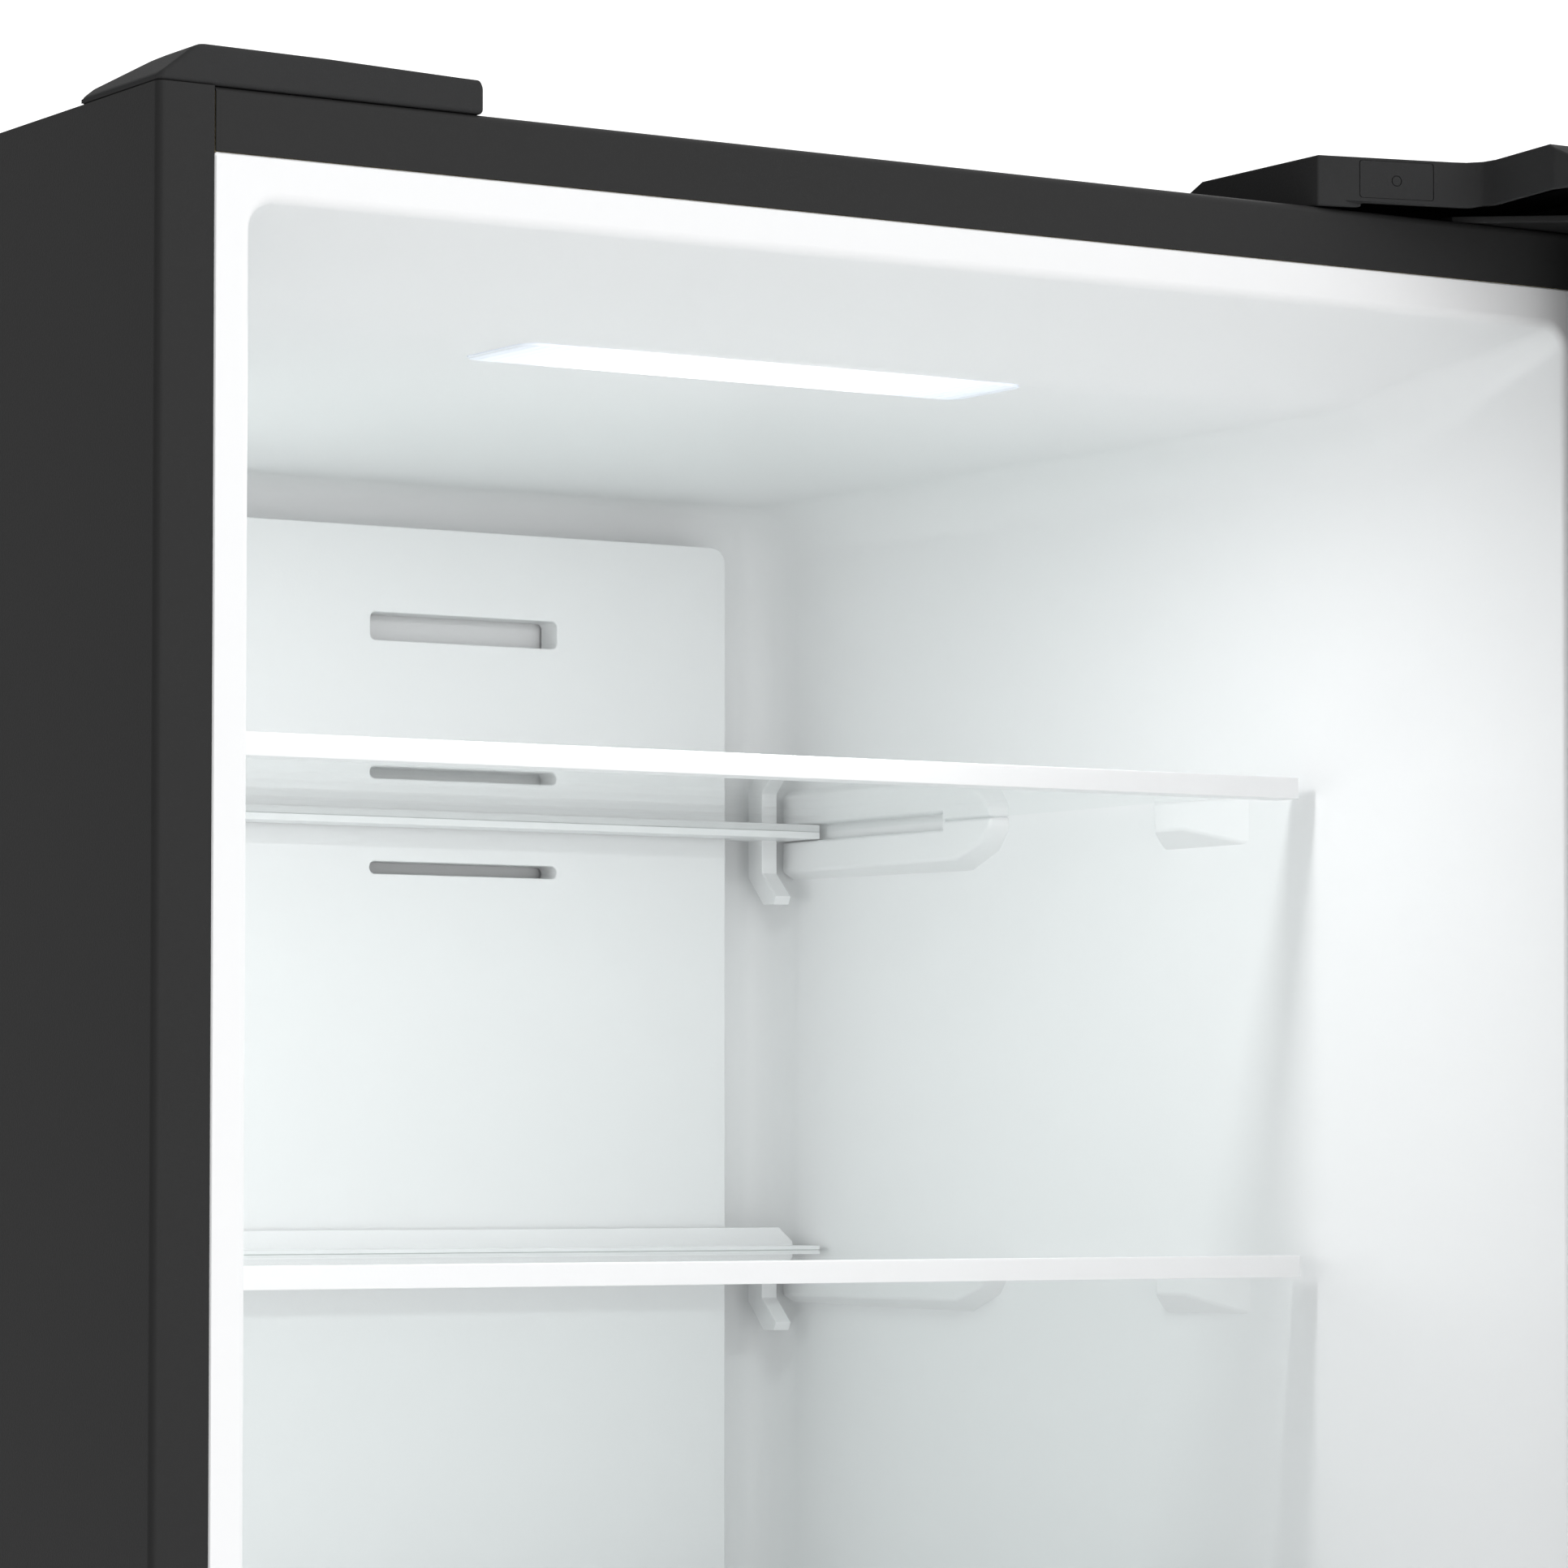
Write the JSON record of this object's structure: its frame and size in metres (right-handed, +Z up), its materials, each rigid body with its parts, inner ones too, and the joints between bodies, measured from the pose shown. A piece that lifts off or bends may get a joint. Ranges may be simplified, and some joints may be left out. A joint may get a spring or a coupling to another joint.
{
  "type": "top freezer refrigerator",
  "caption": "Free-standing refrigerator with a tall freezer compartment over a fresh food compartment, glass shelves, hinged insulated doors and sliding crispers.",
  "frame": {"origin": "on the floor under the middle of the cabinet box, doors left out", "axes": "+Z up, +Y towards the back, +X to the right, seen from the front"},
  "size_m": [1.1197, 1.2881, 1.7113],
  "materials": {
    "cabinet_paint": "satin",
    "black_plastic": "satin",
    "white_liner": "satin",
    "white_trim": "satin",
    "clear_plastic": "gloss",
    "shelf_glass": "gloss",
    "lamp_lens": "satin",
    "foam": "matte",
    "zinc_steel": "satin",
    "seal_rubber": "matte",
    "black_rubber": "matte",
    "fin_aluminium": "satin",
    "compressor_paint": "satin",
    "handle_metal": "satin",
    "back_sheet": "satin"
  },
  "bodies": {
    "cabinet": {"side_panel_left": "cabinet_paint", "side_panel_right": "cabinet_paint", "top_panel": "cabinet_paint", "back_panel": "back_sheet", "base_plate": "cabinet_paint", "cabinet_foam": "foam", "freezer_liner": "white_liner", "fresh_liner": "white_liner", "divider_rail": "cabinet_paint", "evaporator_cover": "white_trim", "evaporator_coil": "fin_aluminium", "fan_motor": "black_plastic", "ceiling_lamp_lens": "lamp_lens", "upper_shelf_glass": "shelf_glass", "upper_shelf_trims": "white_trim", "lower_shelf_glass": "shelf_glass", "lower_shelf_trims": "white_trim", "hinge_blank_cap": "black_plastic", "top_hinge_cover": "black_plastic", "top_hinge": "zinc_steel", "middle_hinge": "zinc_steel", "bottom_hinge": "zinc_steel", "hinge_screws": "zinc_steel", "fresh_shelf_glasses": "shelf_glass", "fresh_shelf_trims": "white_trim", "crisper_lid_frame": "white_trim", "control_housing": "white_trim", "fresh_lamp_lens": "lamp_lens", "air_duct_panel": "white_trim", "compressor": "compressor_paint", "compressor_grommets": "black_rubber", "condenser": "compressor_paint", "drip_tray": "black_plastic", "machine_cover": "black_plastic", "base_grille": "black_plastic", "power_inlet": "black_plastic"},
    "freezer_door": {"freezer_door_skin": "cabinet_paint", "freezer_door_foam": "foam", "freezer_door_liner": "white_liner", "freezer_door_seal": "seal_rubber", "freezer_door_caps": "black_plastic", "freezer_door_handle": "handle_metal", "freezer_upper_bin": "clear_plastic", "freezer_lower_bin": "clear_plastic"},
    "fresh_door": {"fresh_door_skin": "cabinet_paint", "fresh_door_foam": "foam", "fresh_door_liner": "white_liner", "fresh_door_seal": "seal_rubber", "fresh_door_caps": "black_plastic", "fresh_door_handle": "handle_metal", "fresh_upper_bins": "clear_plastic", "fresh_lower_bin": "clear_plastic"},
    "left_crisper": {"left_crisper": "clear_plastic"},
    "right_crisper": {"right_crisper": "clear_plastic"},
    "temperature_dial": {"temperature_dial": "black_plastic"},
    "evaporator_fan": {"evaporator_fan": "white_trim"},
    "left_foot": {"left_foot": "black_plastic"},
    "right_foot": {"right_foot": "black_plastic"},
    "left_roller": {"left_roller": "black_plastic"},
    "right_roller": {"right_roller": "black_plastic"}
  },
  "joints": [
    {"name": "freezer_door_swing", "type": "hinge", "parent": "cabinet", "child": "freezer_door", "pos_m": [0.332, -0.3675, 1.4], "axis": [0, 0, 1], "range_deg": [-125, 5]},
    {"name": "fresh_door_swing", "type": "hinge", "parent": "cabinet", "child": "fresh_door", "pos_m": [0.332, -0.3675, 0.6], "axis": [0, 0, 1], "range_deg": [-125, 5]},
    {"name": "left_crisper_slide", "type": "slide", "parent": "cabinet", "child": "left_crisper", "axis": [0, -1, 0], "range_m": [0, 0.225]},
    {"name": "right_crisper_slide", "type": "slide", "parent": "cabinet", "child": "right_crisper", "axis": [0, -1, 0], "range_m": [0, 0.225]},
    {"name": "temperature_dial_turn", "type": "hinge", "parent": "cabinet", "child": "temperature_dial", "pos_m": [0.07, -0.2575, 0.993], "axis": [0, -1, 0], "range_deg": [-135, 135]},
    {"name": "evaporator_fan_spin", "type": "hinge", "parent": "cabinet", "child": "evaporator_fan", "pos_m": [0, 0.2785, 1.5035], "axis": [0, -1, 0], "continuous": true},
    {"name": "left_foot_turn", "type": "hinge", "parent": "cabinet", "child": "left_foot", "pos_m": [-0.295, -0.2675, 0.01], "axis": [0, 0, 1], "continuous": true},
    {"name": "right_foot_turn", "type": "hinge", "parent": "cabinet", "child": "right_foot", "pos_m": [0.295, -0.2675, 0.01], "axis": [0, 0, 1], "continuous": true},
    {"name": "left_roller_spin", "type": "hinge", "parent": "cabinet", "child": "left_roller", "pos_m": [-0.29, 0.2825, 0.022], "axis": [1, 0, 0], "continuous": true},
    {"name": "right_roller_spin", "type": "hinge", "parent": "cabinet", "child": "right_roller", "pos_m": [0.29, 0.2825, 0.022], "axis": [1, 0, 0], "continuous": true}
  ]
}
